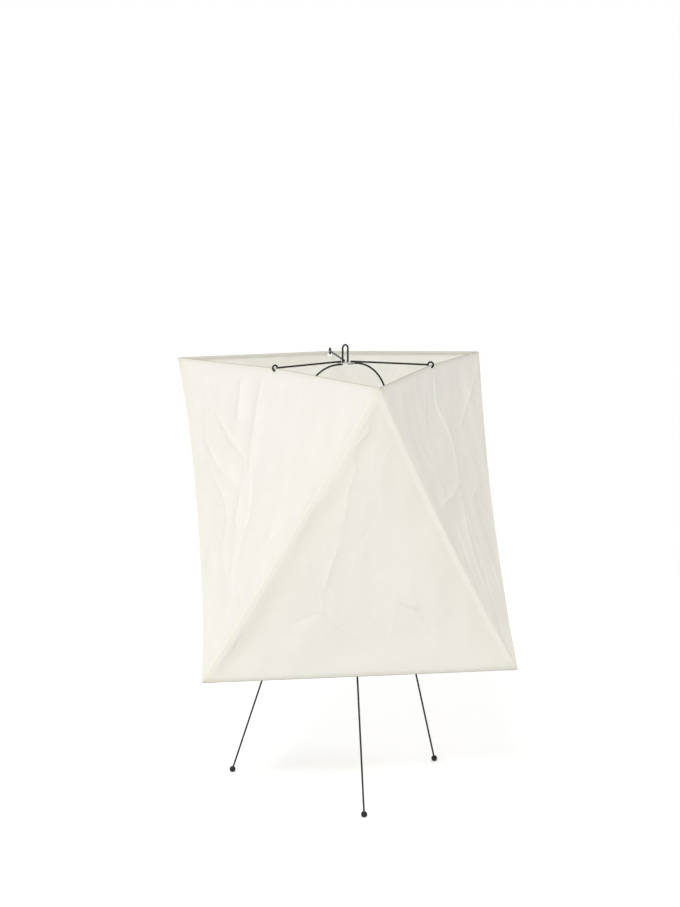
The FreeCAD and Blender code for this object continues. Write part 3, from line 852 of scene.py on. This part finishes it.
def shapeHem(rising, across, away, out):
    radius = shade["hemRadius"]
    halfSide = shade["frameSide"] / 2
    flat = np.zeros(len(across))
    wire = np.stack([flat + edgeRadius, across, flat + wireHeight(rising)], 1)
    wire = wire + away * (wireLift(rising) * (1 - np.abs(across) / halfSide))[:, None]
    rings = []  # points, way along the paper past the sheet's edge, how much the wire shows through and painted shade falls
    for k in range(1, shade["hemSteps"]):
        turn = math.pi * k / shade["hemSteps"]
        ring = wire + radius * (math.cos(turn) * out + math.sin(turn) * away)
        ring[:, 1] *= ring[:, 0] / edgeRadius  # mitred
        rings.append((ring, -radius * turn, float(k in shade["wireAndShadeRows"][rising])))
    least = shade["turnGap"]
    for k in range(shade["turnSteps"] + 1):
        inside = paperLook["turn"] * k / shade["turnSteps"]
        gap = least + (2 * radius - least) * (1 - smoothStep(0, shade["turnClose"], inside))
        stand = radius * (1 - smoothStep(0, shade["hemBlend"], inside)) - gap
        ring = wire - away * inside + out * stand
        ring[:, 1] *= (panelHalf(inside / panelLength) - shade["turnTrim"]) / halfSide
        rings.append((ring, -radius * math.pi - inside, 0.0))
    return [list(column) for column in zip(*rings)]


def panelFaces(rows, count, rings):
    faces = []
    start = 0
    for row in range(rows):
        after = start + rows - row + 1
        for k in range(rows - row):
            faces.append((start + k, start + k + 1, after + k))
            if k < rows - row - 1:
                faces.append((start + k + 1, after + k + 1, after + k))
        start = after
    previous = 0
    for k in range(rings):
        current = count + k * (rows + 1)
        for j in range(rows):
            faces.append((previous + j + 1, previous + j, current + j, current + j + 1))
        previous = current
    return faces


def trimFaces(faces, rising, spread, gap):
    cut = (gap < 0) & (spread >= shade["frameSide"] / 2 - shade["bareCorner"])
    if not rising:
        slip = shade["notchSlip"]
        deep = np.where(gap >= 0, gap, np.maximum(-gap - shade["hemRadius"] * math.pi, 0))
        cut |= (spread <= shade["notchHalf"] + slip) & (deep <= shade["notchDepth"] + slip)
    kept = [face for face in faces if not all(cut[v] for v in face)]
    return kept if rising else [face[::-1] for face in kept]


def buildPanel(name, angle, rising, folds, seed, tone):
    rows = shade["rows"]
    columns = rows + 1
    share, across = gridPanel(rising)
    up = share * panelLength
    sheet, seamGap, tangent, normal = shapeSheet(angle, rising, folds, seed, share, across)
    wireAcross = across[:columns]
    hem, hemGap, hemWireAndShade = shapeHem(rising, wireAcross, -tangent, normal)
    points = np.concatenate([sheet] + hem)

    wireGap = (shade["frameSide"] / 2 - np.abs(wireAcross)) * math.cos(seamLean)
    low, high = shade["hemReach"] - shade["hemSoft"], shade["hemReach"] + shade["hemSoft"]
    # painted shade: darker band along the glued edge above the wire
    hemBandShade = shade["hemShade"][rising] * (1 - smoothStep(low, high, up))
    surface = {
        "seamGap": np.concatenate([seamGap] + [wireGap] * len(hem)),
        "hemGap": np.concatenate([up] + [np.full(columns, gap) for gap in hemGap]),
        "panelShadeTint": np.full(len(points), tone),
        "wireShowAndShade": np.concatenate([hemBandShade] + [np.full(columns, shown) for shown in hemWireAndShade]),
    }
    spread = np.abs(np.concatenate([across] + [wireAcross] * len(hem)))
    faces = trimFaces(panelFaces(rows, len(sheet), len(hem)), rising, spread, surface["hemGap"])

    used = sorted({v for face in faces for v in face})
    index = {v: k for k, v in enumerate(used)}
    mesh = bpy.data.meshes.new(name + "_paper")
    world = toWorld(points, angle)[used].tolist()
    mesh.from_pydata(world, [], [[index[v] for v in face] for face in faces])
    for label, values in surface.items():
        layer = mesh.attributes.new(label, "FLOAT", "POINT")
        layer.data.foreach_set("value", values[used].astype(np.float32))
    mesh.polygons.foreach_set("use_smooth", [True] * len(mesh.polygons))
    mesh.materials.append(materials["ivoryPaper"])
    piece = bpy.data.objects.new(name + "_paper", mesh)
    scene.collection.objects.link(piece)
    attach(piece, "shade")
    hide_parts(name)


for panelValues in panels:
    buildPanel(*panelValues)
    print("panel made:", panelValues[0])

# screw threads on the nipple and on the bulb's cap

threads = {
    "nipple": {"body": "stand", "slot": "steel", "pitch": 0.0010, "depth": 0.0006, "bore": 0.0039},
    "bulb_cap": {"body": "bulb", "slot": "cap_metal", "pitch": 0.0036, "depth": 0.0011, "radius": 0.01305},
    "capChamfer": 0.002,
    "capCollar": 0.003,  # height of the ring round the glass
    "collarStep": 0.001,
    "collarWall": 0.00055,
    "sides": 72,
    "stepsPerTurn": 10,
    "sharpAngle": 50,  # degrees
}


def threadWall(setup, radius, low, high):
    steps = round((high - low) / setup["pitch"] * threads["stepsPerTurn"])
    heights = [low + (high - low) * k / steps for k in range(steps + 1)]
    run = setup["pitch"] / 2
    return [(radius, z, min(1, (z - low) / run, (high - z) / run)) for z in heights]


def buildThread(node, setup, outline):
    sides = threads["sides"]
    points, rings, faces = [], [], []
    for radius, height, cut in outline:
        ring = []
        for k in range(sides if radius else 1):
            angle = 2 * math.pi * k / sides
            groove = 0.5 - 0.5 * math.cos(2 * math.pi * height / setup["pitch"] - angle)
            reach = radius - cut * setup["depth"] * groove
            ring.append(len(points))
            points.append((reach * math.cos(angle), reach * math.sin(angle), height))
        rings.append(ring)
    pairs = list(zip(rings, rings[1:]))
    if len(rings[0]) > 1:
        pairs.append((rings[-1], rings[0]))
    for low, high in pairs:
        for k in range(sides):
            lower = [low[k % len(low)], low[(k + 1) % len(low)]]
            upper = [high[(k + 1) % len(high)], high[k % len(high)]]
            faces.append(list(dict.fromkeys(lower + upper)))
    mesh = bpy.data.meshes.new(node + "_thread")
    mesh.from_pydata(points, [], faces)
    mesh.polygons.foreach_set("use_smooth", [True] * len(faces))
    mesh.set_sharp_from_angle(angle=math.radians(threads["sharpAngle"]))
    mesh.materials.append(materials[slotFinish[setup["slot"]]])
    piece = bpy.data.objects.new(node + "_thread", mesh)
    scene.collection.objects.link(piece)
    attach(piece, setup["body"])
    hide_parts(node)


def nippleOutline(setup):
    low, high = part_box("nipple")
    wall = threadWall(setup, (high[0] - low[0]) / 2, low[2], high[2])
    return wall + [(setup["bore"], high[2], 0), (setup["bore"], low[2], 0)]


def capOutline(setup):
    low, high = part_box("bulb_cap")
    bottom, top = low[2], high[2]
    collar, radius, chamfer = (high[0] - low[0]) / 2, setup["radius"], threads["capChamfer"]
    lip = top - threads["capCollar"]
    floor, shoulder = bottom + chamfer, lip - threads["collarStep"]
    within = collar - threads["collarWall"]
    inner = radius - setup["depth"] - threads["collarWall"]
    base = [(0, bottom, 0), (radius - chamfer, bottom, 0)]
    ring = [(collar, lip, 0), (collar, top, 0), (within, top, 0), (within, lip, 0)]
    inside = [(inner, shoulder, 0), (inner, floor, 0), (0, floor, 0)]
    return base + threadWall(setup, radius, floor, shoulder) + ring + inside


buildThread("nipple", threads["nipple"], nippleOutline(threads["nipple"]))
buildThread("bulb_cap", threads["bulb_cap"], capOutline(threads["bulb_cap"]))
print("threads cut")
